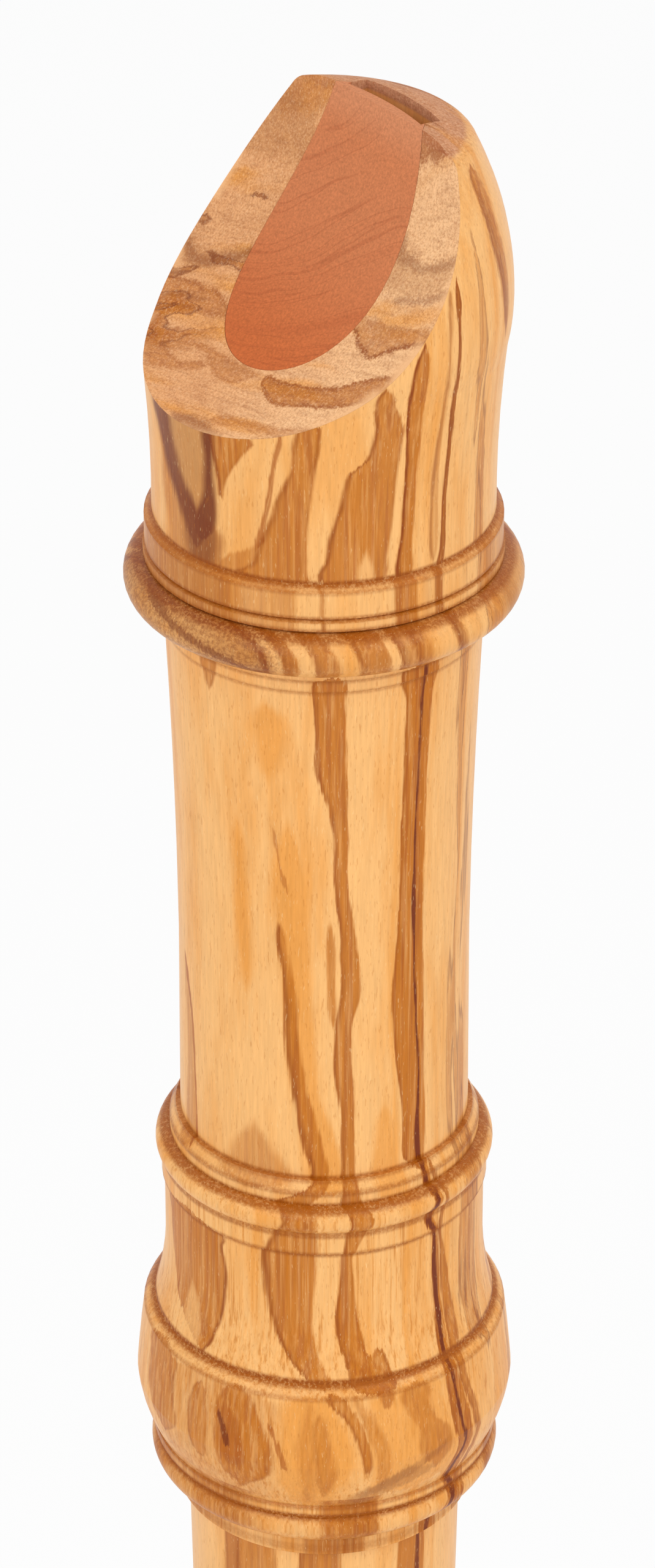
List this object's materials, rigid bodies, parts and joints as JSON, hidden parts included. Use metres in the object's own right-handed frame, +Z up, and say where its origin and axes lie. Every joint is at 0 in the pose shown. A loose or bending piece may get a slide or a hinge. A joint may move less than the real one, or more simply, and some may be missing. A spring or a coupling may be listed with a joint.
{
  "type": "soprano recorder",
  "caption": "End-blown wooden duct flute: beaked head joint with block and window, turned rings, tapering middle joint with finger holes, and a flared foot joint.",
  "frame": {"origin": "centre of the foot's flat end, on the bore's axis", "axes": "+Z up the bore to the beak's tip, +Y towards the window and the finger holes, +X to the player's right"},
  "size_m": [0.0304, 0.0304, 0.328],
  "materials": {
    "olive_head": "oiled satin",
    "olive_middle": "oiled satin",
    "olive_foot": "oiled satin",
    "cedar": "bare matte",
    "cork": "matte"
  },
  "bodies": {
    "foot": {"foot_joint": "olive_foot"},
    "foot_cork": {"foot_tenon_cork": "cork"},
    "middle": {"middle_joint": "olive_middle"},
    "head_cork": {"head_tenon_cork": "cork"},
    "head": {"head_joint": "olive_head"},
    "block": {"block": "cedar"}
  },
  "joints": [
    {"name": "foot_slide", "type": "slide", "parent": "foot", "child": "foot_cork", "axis": [0, 0, 1], "range_m": [0, 0.017]},
    {"name": "foot_turn", "type": "hinge", "parent": "foot_cork", "child": "middle", "pos_m": [0, 0, 0.0763], "axis": [0, 0, 1], "continuous": true},
    {"name": "head_turn", "type": "hinge", "parent": "middle", "child": "head_cork", "pos_m": [0, 0, 0.218], "axis": [0, 0, 1], "continuous": true},
    {"name": "head_slide", "type": "slide", "parent": "head_cork", "child": "head", "axis": [0, 0, 1], "range_m": [0, 0.026]},
    {"name": "block_slide", "type": "slide", "parent": "head", "child": "block", "axis": [0, 0, 1], "range_m": [0, 0.046]}
  ]
}
